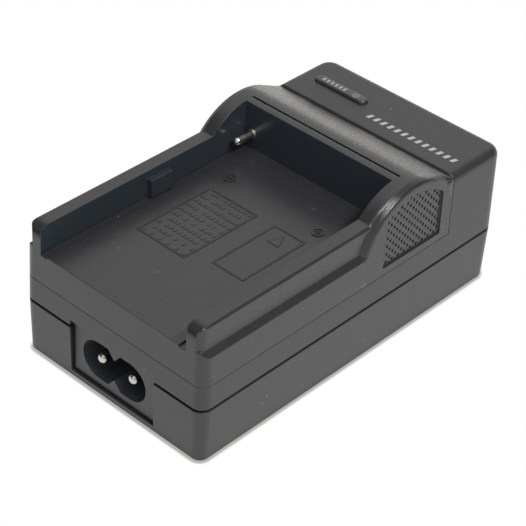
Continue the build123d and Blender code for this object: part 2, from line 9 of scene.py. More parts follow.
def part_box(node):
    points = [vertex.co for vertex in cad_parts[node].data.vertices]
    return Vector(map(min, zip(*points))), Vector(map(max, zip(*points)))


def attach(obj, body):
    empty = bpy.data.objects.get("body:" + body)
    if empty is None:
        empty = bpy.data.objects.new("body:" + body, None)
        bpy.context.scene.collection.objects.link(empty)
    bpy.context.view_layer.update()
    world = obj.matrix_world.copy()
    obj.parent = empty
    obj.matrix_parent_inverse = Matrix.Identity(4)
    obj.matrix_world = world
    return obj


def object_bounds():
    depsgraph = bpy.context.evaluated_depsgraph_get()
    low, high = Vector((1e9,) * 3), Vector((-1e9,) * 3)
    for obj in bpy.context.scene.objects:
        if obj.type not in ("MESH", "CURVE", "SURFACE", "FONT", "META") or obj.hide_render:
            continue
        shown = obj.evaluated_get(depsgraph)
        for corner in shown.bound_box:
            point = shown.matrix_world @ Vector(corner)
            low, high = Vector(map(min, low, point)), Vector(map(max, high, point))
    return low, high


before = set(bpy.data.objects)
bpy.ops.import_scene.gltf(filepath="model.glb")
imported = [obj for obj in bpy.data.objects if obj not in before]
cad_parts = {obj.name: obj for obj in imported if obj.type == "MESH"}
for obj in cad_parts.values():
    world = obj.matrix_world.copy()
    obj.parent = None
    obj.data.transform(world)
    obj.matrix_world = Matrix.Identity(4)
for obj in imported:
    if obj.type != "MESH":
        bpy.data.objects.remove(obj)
cad_low, cad_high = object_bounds()

bl_info = {
    "name": "Camera battery charger",
    "version": (1, 0, 0),
    "blender": (4, 5, 0),
    "location": "3D View > Sidebar > Charger",
    "description": "Finishes, marks and studio of a camera battery charger",
    "category": "Object",
}

MM = 0.001

# Dark screens round the charger: azimuth, elevation, inner and outer angle in degrees, darkness
DARK_SCREENS = (
    (310.0, 32.0, 18.0, 44.0, 0.9),
    (272.0, 22.0, 10.0, 50.0, 0.3),
    (135.0, 28.0, 18.0, 56.0, 0.94),
    (85.0, 15.0, 12.0, 36.0, 0.7),
    (41.0, 37.0, 6.0, 15.0, 0.85),
)


# Node graphs written as expressions

class Field:
    """A value in a node graph. Arithmetic on it adds Math nodes."""

    def __init__(self, graph, socket):
        self.graph = graph
        self.socket = socket

    def math(self, operation, *values):
        return self.graph.add("ShaderNodeMath", {"operation": operation}, values)

    def __add__(self, other):
        return self.math("ADD", self, other)

    def __radd__(self, other):
        return self.math("ADD", other, self)

    def __sub__(self, other):
        return self.math("SUBTRACT", self, other)

    def __rsub__(self, other):
        return self.math("SUBTRACT", other, self)

    def __mul__(self, other):
        return self.math("MULTIPLY", self, other)

    def __rmul__(self, other):
        return self.math("MULTIPLY", other, self)

    def __truediv__(self, other):
        return self.math("DIVIDE", self, other)

    def __abs__(self):
        return self.math("ABSOLUTE", self)

    def above(self, edge, soft):
        """0 below the edge and 1 above it, with a soft step."""
        limits = [self, edge - soft, edge + soft, 0.0, 1.0]
        return self.graph.add("ShaderNodeMapRange", {"interpolation_type": "SMOOTHSTEP"}, limits)

    def below(self, edge, soft):
        """1 below the edge and 0 above it, with a soft step."""
        return 1.0 - self.above(edge, soft)

    def either(self, other):
        """The greater of two values."""
        return self.math("MAXIMUM", self, other)


class Graph:
    """A shader or geometry node tree, with one method for every kind of node."""

    def __init__(self, tree):
        self.tree = tree

    def plug(self, socket, value):
        """Link a field to a socket, or set its plain value."""
        if isinstance(value, Field):
            self.tree.links.new(value.socket, socket)
        else:
            socket.default_value = value

    def add(self, kind, settings=(), inputs=(), output=0):
        """A node with its settings and inputs; returns one of its outputs."""
        node = self.tree.nodes.new(kind)
        for key, value in dict(settings).items():
            setattr(node, key, value)
        pairs = inputs.items() if isinstance(inputs, dict) else enumerate(inputs)
        for key, value in pairs:
            self.plug(node.inputs[key], value)
        return Field(self, node.outputs[output])

    def blend(self, factor, first, second):
        """Mix two colours."""
        settings = {"data_type": "RGBA"}
        return self.add("ShaderNodeMix", settings, {0: factor, 6: rgba(first), 7: rgba(second)}, 2)

    def noise(self, place, scale, detail=2.0, roughness=0.5):
        """Noise value at a place, with features of one over scale."""
        inputs = {"Vector": place, "Scale": scale, "Detail": detail, "Roughness": roughness}
        return self.add("ShaderNodeTexNoise", (), inputs, "Fac")

    def cells(self, place, scale, feature="F1"):
        """Distance to the nearest of scattered points."""
        inputs = {"Vector": place, "Scale": scale}
        return self.add("ShaderNodeTexVoronoi", {"feature": feature}, inputs, "Distance")

    def axes(self, place):
        """X, Y and Z of a place as three fields."""
        node = self.tree.nodes.new("ShaderNodeSeparateXYZ")
        self.plug(node.inputs[0], place)
        return [Field(self, socket) for socket in node.outputs]


def rgba(colour):
    """A colour with its fourth channel, or the field as it is."""
    if isinstance(colour, Field):
        return colour
    return (*tuple(colour)[:3], 1.0)


class Finish(Graph):
    """A material on object coordinates with one Principled shader."""

    def __init__(self, name):
        self.material = bpy.data.materials.new(name)
        self.material.use_nodes = True
        super().__init__(self.material.node_tree)
        self.shader = self.tree.nodes["Principled BSDF"]
        self.place = self.add("ShaderNodeTexCoord", output="Object")

    def set(self, **values):
        """Values or fields of the shader's sockets, with spaces written as underscores."""
        for key, value in values.items():
            self.plug(self.shader.inputs[key.replace("_", " ")], value)

    def relief(self, height, depth, edge=0.0):
        """Bump of a height field in metres, over edges that look rounded by a radius."""
        inputs = {"Height": height, "Distance": depth, "Strength": 1.0}
        if edge:
            inputs["Normal"] = self.add("ShaderNodeBevel", {"samples": 8}, {"Radius": edge})
        self.set(Normal=self.add("ShaderNodeBump", (), inputs))

    def vector(self, operation, *values):
        """Vector maths; the value where the operation gives one."""
        output = "Value" if operation in ("LENGTH", "DOT_PRODUCT") else "Vector"
        return self.add("ShaderNodeVectorMath", {"operation": operation}, values, output)

    def put_on(self, *names):
        """Give the finish to CAD nodes."""
        for name in names:
            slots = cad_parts[name].data.materials
            slots.clear()
            slots.append(self.material)


# Finishes

def moulded_plastic(name, colour, roughness, edge=0.22 * MM, dust=1.0):
    """Satin moulded plastic: spark-eroded grain, faint mottling and a few specks of dust."""
    finish = Finish(name)
    grain = finish.noise(finish.place, 3400.0, 3.0, 0.6)
    mottle = finish.noise(finish.place, 260.0, 3.0)
    lint_size = finish.noise(finish.place, 120.0, 0.0)
    lint = finish.cells(finish.place, 330.0).below(0.045, 0.03) * lint_size.above(0.60, 0.03) * dust
    shade = finish.blend(mottle, [0.93 * c for c in colour], [1.07 * c for c in colour])
    finish.set(
        Base_Color=finish.blend(lint * 0.5, shade, (0.55, 0.54, 0.52)),
        Roughness=roughness + (mottle - 0.5) * 0.05 + (grain - 0.5) * 0.10,
        Specular_IOR_Level=0.58,
    )
    finish.relief(grain, 0.03 * MM, edge)
    return finish


def plate_plastic(colour, roughness, pocket, polish, arch, nose):
    """Satin plastic; the pocket's walls are polished and carry a painted bluish shade; rounder edges on the
    arch and wall tips.
    """
    finish = moulded_plastic("plate_plastic", colour, roughness)
    x, y, z = finish.axes(finish.place)
    half_width, back, floor = pocket
    soft = 0.15 * MM
    axis_y, axis_z, inner_r = arch
    from_axis = finish.add("ShaderNodeCombineXYZ", (), [0.0, y - axis_y, z - axis_z])
    rim = finish.vector("LENGTH", from_axis).above(inner_r, soft)
    rim = rim * y.above(0.0, soft) * abs(x).above(half_width + 1.5 * MM, MM)
    bevel = finish.tree.nodes["Bevel"]
    finish.plug(bevel.inputs["Radius"], 0.22 * MM + rim * (1.1 * MM))
    edge = Field(finish, bevel.outputs["Normal"])
    nose_y, nose_z = nose
    from_nose = finish.add("ShaderNodeCombineXYZ", (), [0.0, y - nose_y, z - nose_z])
    sideways = finish.axes(edge)[0]
    tip = y.below(nose_y, soft) * z.above(nose_z, soft) * abs(x).above(half_width - soft, soft)
    tip = tip * abs(sideways).below(0.5, 0.3)
    settings = {"data_type": "VECTOR"}
    nose_normal = finish.vector("NORMALIZE", from_nose)
    rounded = finish.add("ShaderNodeMix", settings, {0: tip, 4: edge, 5: nose_normal}, 1)
    finish.plug(finish.tree.nodes["Bump"].inputs["Normal"], finish.vector("NORMALIZE", rounded))
    # The pocket's walls are polished, and their colour is tinted by a painted bluish shade.
    inside = abs(x).below(half_width + soft, soft) * y.below(back + soft, soft)
    inside = inside * z.above(floor + 2 * soft, soft)
    shade = Field(finish, finish.shader.inputs["Base Color"].links[0].from_socket)
    satin = Field(finish, finish.shader.inputs["Roughness"].links[0].from_socket)
    finish.set(
        Base_Color=finish.blend(inside, shade, (0.030, 0.039, 0.050)),
        Roughness=satin - inside * (roughness - polish) - rim * 0.09 - tip * 0.08,
    )
    return finish


def inlet_plastic(colour, roughness, face_y):
    """The case's plastic, rougher inside the opening, whose walls carry a painted bluish shade."""
    finish = moulded_plastic("inlet_plastic", colour, roughness, dust=0.5)
    y = finish.axes(finish.place)[1]
    # Inside the opening the plastic is rougher, and its colour is tinted by a painted bluish shade.
    deep = y.above(face_y + 0.6 * MM, 0.3 * MM)
    shade = Field(finish, finish.shader.inputs["Base Color"].links[0].from_socket)
    satin = Field(finish, finish.shader.inputs["Roughness"].links[0].from_socket)
    finish.set(
        Base_Color=finish.blend(deep, shade, (0.034, 0.044, 0.058)),
        Roughness=satin + deep * 0.25,
    )
    return finish


def plated_metal(name, colour, roughness):
    """Bright plated metal with fine turning marks and slight tarnish."""
    finish = Finish(name)
    y = finish.axes(finish.place)[1]
    rings = finish.noise(finish.add("ShaderNodeCombineXYZ", (), [0.0, y * 9.0, 0.0]), 900.0, 2.0)
    tarnish = finish.noise(finish.place, 700.0, 3.0).above(0.58, 0.12)
    finish.set(
        Base_Color=finish.blend(tarnish * 0.35, colour, [0.6 * c for c in colour]),
        Metallic=1.0,
        Roughness=roughness + rings * 0.08 + tarnish * 0.1,
    )
    finish.relief(rings, 0.004 * MM)
    return finish


def sheet_metal(name, colour, roughness):
    """Rolled metal strip with a drawn grain."""
    finish = Finish(name)
    x, y, z = finish.axes(finish.place)
    grain = finish.noise(finish.add("ShaderNodeCombineXYZ", (), [x, y, z * 0.05]), 6000.0, 2.0)
    stain = finish.noise(finish.place, 500.0, 3.0)
    finish.set(
        Base_Color=finish.blend(stain.above(0.55, 0.15) * 0.4, colour, [0.55 * c for c in colour]),
        Metallic=1.0,
        Roughness=roughness + (grain - 0.5) * 0.2,
    )
    finish.relief(grain, 0.004 * MM, 0.06 * MM)
    return finish


def board_laminate(colour, copper):
    """Paper laminate with fibres and a pattern of tinned tracks on its underside."""
    finish = Finish("board_laminate")
    x, y, z = finish.axes(finish.place)
    fibre = finish.noise(finish.add("ShaderNodeCombineXYZ", (), [x, y * 0.25, z]), 2600.0, 4.0)
    low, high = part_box("circuit_board")
    tracks = finish.cells(finish.place, 190.0, "DISTANCE_TO_EDGE").below(0.10, 0.02)
    tracks = tracks * z.below((low.z + high.z) / 2, 0.1 * MM)
    tan = finish.blend(fibre, [0.75 * c for c in colour], [1.15 * c for c in colour])
    finish.set(
        Base_Color=finish.blend(tracks, tan, copper),
        Metallic=tracks * 0.9,
        Roughness=0.55 - tracks * 0.2 + (fibre - 0.5) * 0.15,
    )
    finish.relief(fibre * 0.3 + tracks, 0.03 * MM, 0.1 * MM)
    return finish


def leaded_part(name, node, colour, body, tin, bands=()):
    """Lacquered or moulded body with tinned leads; the body keeps within a half size along X and Y."""
    finish = Finish(name)
    x, y = finish.axes(finish.place)[:2]
    grain = finish.noise(finish.place, 3500.0, 3.0)
    lead = None
    for low, high in solid_boxes(node):
        middle = (low + high) / 2
        inside_x = abs(x - middle.x).below(body[0], 0.02 * MM)
        inside_y = abs(y - middle.y).below(body[1], 0.02 * MM)
        inside = inside_x * inside_y
        lead = inside if lead is None else lead.either(inside)
    lead = 1.0 - lead
    shade = finish.blend(grain, [0.8 * c for c in colour], [1.2 * c for c in colour])
    for low, high in solid_boxes(node):
        middle = (low + high) / 2
        for offset, band in bands:
            ring = abs(x - (middle.x + offset)).below(0.3 * MM, 0.05 * MM)
            ring = ring * abs(y - middle.y).below(body[1], 0.02 * MM)
            shade = finish.blend(ring, shade, band)
    finish.set(
        Base_Color=finish.blend(lead, shade, tin),
        Metallic=lead,
        Roughness=0.42 - lead * 0.12 + (grain - 0.5) * 0.2,
    )
    finish.relief(grain, 0.01 * MM, 0.1 * MM)
    return finish


def capacitor_sleeve(name, node, colour, stripe, metal):
    """Shrunk sleeve with a pale stripe on one side and a bare metal top."""
    finish = Finish(name)
    x, y, z = finish.axes(finish.place)
    low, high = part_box(node)
    middle = (low + high) / 2
    wrinkle = finish.noise(finish.place, 1400.0, 3.0)
    mark = (x - middle.x).above(0.32 * (high.x - low.x), 0.05 * MM)
    dash = finish.add("ShaderNodeMath", {"operation": "FRACT"}, [z / (2.4 * MM)])
    mark = mark * (1.0 - dash.above(0.3, 0.05) * dash.below(0.6, 0.05))
    from_axis = finish.add("ShaderNodeCombineXYZ", (), [x - middle.x, y - middle.y, 0.0])
    radius = finish.vector("LENGTH", from_axis)
    bare = z.above(high.z - 0.35 * MM, 0.05 * MM) * radius.below(0.42 * (high.x - low.x), 0.05 * MM)
    sleeve = finish.blend(mark, colour, stripe)
    finish.set(
        Base_Color=finish.blend(bare, sleeve, metal),
        Metallic=bare,
        Roughness=0.28 + wrinkle * 0.12,
    )
    finish.relief(wrinkle, 0.02 * MM, 0.1 * MM)
    return finish


def wound_tape(colour):
    """Layers of polyester tape over the winding."""
    finish = Finish("winding_tape")
    z = finish.axes(finish.place)[2]
    layer = finish.add("ShaderNodeMath", {"operation": "FRACT"}, [z / (1.1 * MM)])
    overlap = layer.below(0.12, 0.06)
    wire = finish.add("ShaderNodeMath", {"operation": "SINE"}, [z * (6.283 / (0.32 * MM))])
    copper = [0.62, 0.30, 0.12]
    finish.set(
        Base_Color=finish.blend(overlap * 0.6 + wire * 0.08, colour, copper),
        Roughness=0.3 + overlap * 0.15,
    )
    finish.relief(wire * 0.5 + overlap, 0.02 * MM, 0.1 * MM)
    return finish


def ground_ferrite(colour):
    """Sintered ferrite with ground faces and a porous surface."""
    finish = Finish("ferrite")
    pores = finish.cells(finish.place, 2600.0).below(0.18, 0.08)
    cloud = finish.noise(finish.place, 420.0, 4.0)
    finish.set(
        Base_Color=finish.blend(cloud, [0.75 * c for c in colour], [1.3 * c for c in colour]),
        Metallic=0.25,
        Roughness=0.5 + pores * 0.25,
    )
    finish.relief(1.0 - pores, 0.02 * MM, 0.15 * MM)
    return finish


def smoked_window(colour, guide_x, guide_d):
    """Smoked clear plastic with the end of the light guide showing through."""
    finish = Finish("smoked_window")
    low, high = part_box("indicator_lens")
    x, y = finish.axes(finish.place)[:2]
    from_guide = finish.add("ShaderNodeCombineXYZ", (), [x - guide_x, y - (low.y + high.y) / 2, 0.0])
    radius = finish.vector("LENGTH", from_guide)
    spot = radius.below(guide_d / 2, 0.12 * MM)
    haze = finish.noise(finish.place, 600.0, 3.0)
    finish.set(
        Base_Color=finish.blend(spot * 0.7, colour, (0.16, 0.155, 0.15)),
        Roughness=0.16 + haze * 0.08,
        Coat_Weight=0.3,
    )
    finish.relief(haze, 0.006 * MM, 0.2 * MM)
    return finish


def printed_ink(name, colour):
    """Thin printed ink with small pinholes at its edges."""
    finish = Finish(name)
    cover = finish.noise(finish.place, 2400.0, 3.0)
    finish.set(
        Base_Color=finish.blend(cover.below(0.36, 0.08) * 0.5, colour, [0.55 * c for c in colour]),
        Roughness=0.45 + cover * 0.1,
    )
    finish.relief(cover, 0.004 * MM)
    return finish


def solid_boxes(node):
    """Lowest and highest corner of each separate solid of a CAD node."""
    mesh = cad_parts[node].data
    keys = {}
    home = [keys.setdefault(tuple(round(c, 7) for c in v.co), len(keys)) for v in mesh.vertices]
    parent = list(range(len(keys)))

    def root(i):
        while parent[i] != i:
            parent[i] = parent[parent[i]]
            i = parent[i]
        return i

    for edge in mesh.edges:
        a, b = root(home[edge.vertices[0]]), root(home[edge.vertices[1]])
        parent[a] = b
    groups = {}
    for place, i in keys.items():
        groups.setdefault(root(i), []).append(place)
    boxes = []
    for places in groups.values():
        low = Vector([min(p[k] for p in places) for k in range(3)])
        high = Vector([max(p[k] for p in places) for k in range(3)])
        boxes.append((low, high))
    return sorted(boxes, key=lambda box: tuple(box[0]))


# Geometry node trees

class Tree(Graph):
    """A geometry node tree with named inputs that ends in one finished mesh."""

    def __init__(self, name):
        super().__init__(bpy.data.node_groups.new(name, "GeometryNodeTree"))
        interface = self.tree.interface
        interface.new_socket("Geometry", in_out="OUTPUT", socket_type="NodeSocketGeometry")
        self.inputs = self.tree.nodes.new("NodeGroupInput")
        self.values = {}

    def value(self, name, kind, default):
        """A named input of the tree."""
        socket = self.tree.interface.new_socket(name, in_out="INPUT", socket_type=kind)
        socket.default_value = default
        self.values[socket.identifier] = default
        found = [s for s in self.inputs.outputs if s.identifier == socket.identifier][0]
        return Field(self, found)

    def finish(self, geometry, material):
        """Realize the instances, set the material and close the tree."""
        real = self.add("GeometryNodeRealizeInstances", (), [geometry])
        made = self.add("GeometryNodeSetMaterial", (), {"Geometry": real, "Material": material})
        out = self.tree.nodes.new("NodeGroupOutput")
        self.plug(out.inputs[0], made)

    def make(self, name):
        """Run the tree once and keep its result as a plain mesh object at the origin."""
        thing = bpy.data.objects.new(name, bpy.data.meshes.new(name))
        bpy.context.scene.collection.objects.link(thing)
        modifier = thing.modifiers.new(name, "NODES")
        modifier.node_group = self.tree
        for identifier, value in self.values.items():
            modifier[identifier] = value
        depsgraph = bpy.context.evaluated_depsgraph_get()
        mesh = bpy.data.meshes.new_from_object(thing.evaluated_get(depsgraph))
        thing.modifiers.clear()
        thing.data = mesh
        return thing


def bar_row(name, count, pitch, size, slant, place, material):
    """A row of like slanted bars along X, printed or raised."""
    tree = Tree(name)
    count = tree.value("Count", "NodeSocketInt", count)
    pitch = tree.value("Pitch", "NodeSocketFloat", pitch)
    width = tree.value("Bar width", "NodeSocketFloat", size[0])
    height = tree.value("Bar height", "NodeSocketFloat", size[1])
    film = tree.value("Thickness", "NodeSocketFloat", size[2])
    lean = tree.value("Slant", "NodeSocketFloat", slant)
    start = tree.value("Place", "NodeSocketVector", place)
    extent = tree.add("ShaderNodeCombineXYZ", (), [width, height, film])
    box = tree.add("GeometryNodeMeshCube", (), [extent])
    y = tree.axes(tree.add("GeometryNodeInputPosition"))[1]
    shear = tree.add("ShaderNodeCombineXYZ", (), [y * lean, 0.0, 0.0])
    bar = tree.add("GeometryNodeSetPosition", (), {"Geometry": box, "Offset": shear})
    step = tree.add("ShaderNodeCombineXYZ", (), [pitch, 0.0, 0.0])
    inputs = {"Count": count, "Start Location": start, "Offset": step}
    row = tree.add("GeometryNodeMeshLine", (), inputs)
    tree.finish(tree.add("GeometryNodeInstanceOnPoints", (), {"Points": row, "Instance": bar}), material)
    return tree.make(name)


def dash_block(name, columns, rows, area, dash, fill, seed, place, material):
    """Rows of short raised dashes of uneven length, with gaps."""
    tree = Tree(name)
    columns = tree.value("Columns", "NodeSocketInt", columns)
    rows = tree.value("Rows", "NodeSocketInt", rows)
    width = tree.value("Width", "NodeSocketFloat", area[0])
    length = tree.value("Length", "NodeSocketFloat", area[1])
    dash_size = tree.value("Dash size", "NodeSocketVector", dash)
    share = tree.value("Fill", "NodeSocketFloat", fill)
    seed = tree.value("Seed", "NodeSocketInt", seed)
    start = tree.value("Place", "NodeSocketVector", place)
    inputs = {"Size X": width, "Size Y": length, "Vertices X": columns, "Vertices Y": rows}
    grid = tree.add("GeometryNodeMeshGrid", (), inputs)
    grid = tree.add("GeometryNodeTransform", (), {"Geometry": grid, "Translation": start})
    chance = {"Probability": share, "Seed": seed}
    kept = tree.add("FunctionNodeRandomValue", {"data_type": "BOOLEAN"}, chance, 3)
    stretch = {0: (0.45, 0.8, 1.0), 1: (1.25, 1.0, 1.0), "Seed": seed}
    scale = tree.add("FunctionNodeRandomValue", {"data_type": "FLOAT_VECTOR"}, stretch, 0)
    bar = tree.add("GeometryNodeMeshCube", (), [dash_size])
    inputs = {"Points": grid, "Selection": kept, "Instance": bar, "Scale": scale}
    tree.finish(tree.add("GeometryNodeInstanceOnPoints", (), inputs), material)
    return tree.make(name)


def keep(thing):
    """Let a piece ride with the charger."""
    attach(thing, "root")


def ring_sign(mesh, centre, radius, line, low, high, strokes):
    """Add a raised ring with straight strokes inside it to a mesh under construction."""
    steps = 40
    rims = []
    for r in (radius - line, radius):
        for z in (low, high):
            turn = [2 * math.pi * i / steps for i in range(steps)]
            points = [(centre[0] + r * math.cos(a), centre[1] + r * math.sin(a), z) for a in turn]
            rims.append([mesh.verts.new(p) for p in points])
    inner_low, inner_high, outer_low, outer_high = rims
    for i in range(steps):
        j = (i + 1) % steps
        mesh.faces.new((inner_high[i], outer_high[i], outer_high[j], inner_high[j]))
        mesh.faces.new((outer_low[i], outer_low[j], outer_high[j], outer_high[i]))
        mesh.faces.new((inner_low[j], inner_low[i], inner_high[i], inner_high[j]))
        mesh.faces.new((inner_low[i], inner_low[j], outer_low[j], outer_low[i]))
    for size_x, size_y in strokes:
        place = Matrix.Translation((centre[0], centre[1], (low + high) / 2))
        scale = Matrix.Diagonal((size_x, size_y, high - low, 1.0))
        bmesh.ops.create_cube(mesh, size=1.0, matrix=place @ scale)


def mesh_piece(name, mesh, material):
    """Close a mesh under construction and keep it as an object at the origin."""
    bmesh.ops.recalc_face_normals(mesh, faces=mesh.faces[:])
    data = bpy.data.meshes.new(name)
    mesh.to_mesh(data)
    mesh.free()
    data.materials.append(material)
    thing = bpy.data.objects.new(name, data)
    bpy.context.scene.collection.objects.link(thing)
    return thing


# Sizes and colours that a user would change

class ChargerFinishes(bpy.types.PropertyGroup):
    """Colours of the charger."""

    case: FloatVectorProperty(
        name="Case", description="Colour of the two case halves", subtype="COLOR",
        default=(0.030, 0.031, 0.034), min=0.0, max=1.0)
    plate: FloatVectorProperty(
        name="Plate", description="Colour of the battery plate", subtype="COLOR",
        default=(0.029, 0.030, 0.033), min=0.0, max=1.0)
    inlet: FloatVectorProperty(
        name="Inlet", description="Colour of the inlet block", subtype="COLOR",
        default=(0.040, 0.042, 0.048), min=0.0, max=1.0)
    ink: FloatVectorProperty(
        name="Ink", description="Colour of the printed bars", subtype="COLOR",
        default=(0.44, 0.44, 0.43), min=0.0, max=1.0)
    pins: FloatVectorProperty(
        name="Pins", description="Colour of the plated pins", subtype="COLOR",
        default=(0.83, 0.81, 0.76), min=0.0, max=1.0)
    satin: FloatProperty(
        name="Satin", description="Roughness of the moulded plastic", default=0.36, min=0.0, max=1.0)
    polish: FloatProperty(
        name="Polish", description="Roughness of the pocket's walls", default=0.2, min=0.0, max=1.0)
    plate_satin: FloatProperty(
        name="Plate satin", description="Roughness of the battery plate", default=0.27, min=0.0, max=1.0)


class ChargerMarks(bpy.types.PropertyGroup):
    """Sizes of the printed and raised marks."""

    bar_count: IntProperty(name="Bars", description="Bars printed on the head", default=13, min=1)
    bar_pitch: FloatProperty(
        name="Bar pitch", description="Step between printed bars", unit="LENGTH", default=1.86 * MM)
    bar_size: FloatVectorProperty(
        name="Bar size", description="Width, height and film of a printed bar", unit="LENGTH",
        default=(0.85 * MM, 1.5 * MM, 0.03 * MM))
    bar_start: FloatVectorProperty(
        name="First bar", description="Place of the first printed bar on the head", size=2, unit="LENGTH",
        default=(-1.9 * MM, 31.6 * MM))
    slant: FloatProperty(name="Slant", description="Lean of the printed bars", default=0.28)
    floor_level: FloatProperty(
        name="Cradle floor", description="Height of the cradle floor", unit="LENGTH", default=25.4 * MM)
    wall_top: FloatProperty(
        name="Wall top", description="Height of the cradle's side walls", unit="LENGTH", default=31.4 * MM)
    pocket_half_width: FloatProperty(
        name="Pocket half width", description="From the middle to the pocket's side walls", unit="LENGTH",
        default=19.7 * MM)
    pocket_back: FloatProperty(
        name="Pocket back", description="Place of the pocket's back wall", unit="LENGTH", default=12.6 * MM)
    relief: FloatProperty(
        name="Relief", description="Height of the raised marks", unit="LENGTH", default=0.1 * MM)
    sign_relief: FloatProperty(
        name="Sign relief", description="Height of the polarity signs", unit="LENGTH", default=0.24 * MM)
    arch_axis: FloatVectorProperty(
        name="Arch axis", description="Place and height of the crown's axis", size=2, unit="LENGTH",
        default=(14.2 * MM, 20.4 * MM))
    rim_axis: FloatVectorProperty(
        name="Rim axis", description="Place and height of the cheek rims' axis", size=2, unit="LENGTH",
        default=(15.0 * MM, 20.8 * MM))
    rim_radius: FloatProperty(
        name="Rim radius", description="Where the rounder cheek rims begin", unit="LENGTH",
        default=13.7 * MM)
    tip_radius: FloatProperty(
        name="Tip radius", description="Rounding of the side walls' front tips", unit="LENGTH",
        default=3.3 * MM)
    land_level: FloatProperty(
        name="Land", description="Height of the land behind the arch", unit="LENGTH", default=31.9 * MM)
    slope_start: FloatProperty(
        name="Slope start", description="From the crown's axis to where the slope leaves it", unit="LENGTH",
        default=4.8 * MM)
    slope_end: FloatProperty(
        name="Slope end", description="Height of the slope at the head", unit="LENGTH", default=32.05 * MM)
    slope_half_width: FloatProperty(
        name="Slope half width", description="From the middle to the slope's ends", unit="LENGTH",
        default=23.9 * MM)
    slope_end_radius: FloatProperty(
        name="Slope end radius", description="Rounding of the slope's ends", unit="LENGTH",
        default=1.6 * MM)
    sign_radius: FloatProperty(
        name="Sign radius", description="Radius of the polarity signs", unit="LENGTH", default=1.35 * MM)


class ChargerStudio(bpy.types.PropertyGroup):
    """Camera and light."""

    azimuth: FloatProperty(
        name="Azimuth", description="Camera's turn about the charger", subtype="ANGLE",
        default=math.radians(41.11))
    elevation: FloatProperty(
        name="Elevation", description="Camera's height above the table", subtype="ANGLE",
        default=math.radians(36.95))
    roll: FloatProperty(
        name="Roll", description="Camera's turn about its own axis", subtype="ANGLE",
        default=math.radians(3.55))
    distance: FloatProperty(
        name="Distance", description="From the target to the camera", unit="LENGTH", default=380.0 * MM)
    target: FloatVectorProperty(
        name="Target", description="Point that the camera looks at", subtype="TRANSLATION", unit="LENGTH",
        default=(2.15 * MM, -4.064 * MM, 14.74 * MM))
    focal_length: FloatProperty(
        name="Focal length", description="Of a 36 mm wide sensor, in millimetres", default=129.1)
    table: FloatVectorProperty(
        name="Table", description="Colour of the table", subtype="COLOR", default=(0.86, 0.85, 0.83),
        min=0.0, max=1.0)
    glow: FloatVectorProperty(
        name="Glow", description="Colour of the lit table in reflections", subtype="COLOR",
        default=(1.0, 0.985, 0.96), min=0.0, max=1.0)
    shadow: FloatVectorProperty(
        name="Shadow", description="Colour of the shadow at the charger's foot", subtype="COLOR",
        default=(0.45, 0.42, 0.40), min=0.0, max=1.0)
    shadow_reach: FloatProperty(
        name="Shadow reach", description="How far the shadow spreads", unit="LENGTH", default=1.0 * MM)
    shadow_side: FloatVectorProperty(
        name="Shadow side", description="Direction that the shadow falls away from", subtype="DIRECTION",
        default=(-0.25, 0.45, 0.85))


# Operators, one for each piece or group of like pieces

class CHARGER_OT_case(bpy.types.Operator):
    """Finish of the two case halves and their screws"""

    bl_idname = "charger.case"
    bl_label = "Case halves"

    def execute(self, context):
        looks = context.scene.charger_finishes
        moulded_plastic("case_plastic", looks.case, looks.satin).put_on("lower_case", "upper_case")
        sheet_metal("zinc_screw", (0.42, 0.42, 0.43), 0.38).put_on("case_screws")
        return {"FINISHED"}


class CHARGER_OT_plate(bpy.types.Operator):
    """Finish of the battery plate and its contacts"""

    bl_idname = "charger.plate"
    bl_label = "Battery plate"

    def execute(self, context):
        looks = context.scene.charger_finishes
        marks = context.scene.charger_marks
        pocket = (marks.pocket_half_width, marks.pocket_back, marks.floor_level)
        arch = (*marks.rim_axis, marks.rim_radius)
        nose = (cad_low.y + marks.tip_radius, marks.wall_top - marks.tip_radius)
        plastic = plate_plastic(looks.plate, looks.plate_satin, pocket, looks.polish, arch, nose)
        plastic.put_on("battery_plate")
        plated_metal("contact_metal", looks.pins, 0.18).put_on("contact_pins")
        sheet_metal("contact_strip", (0.74, 0.58, 0.28), 0.32).put_on("plate_terminals", "base_contacts")
        return {"FINISHED"}


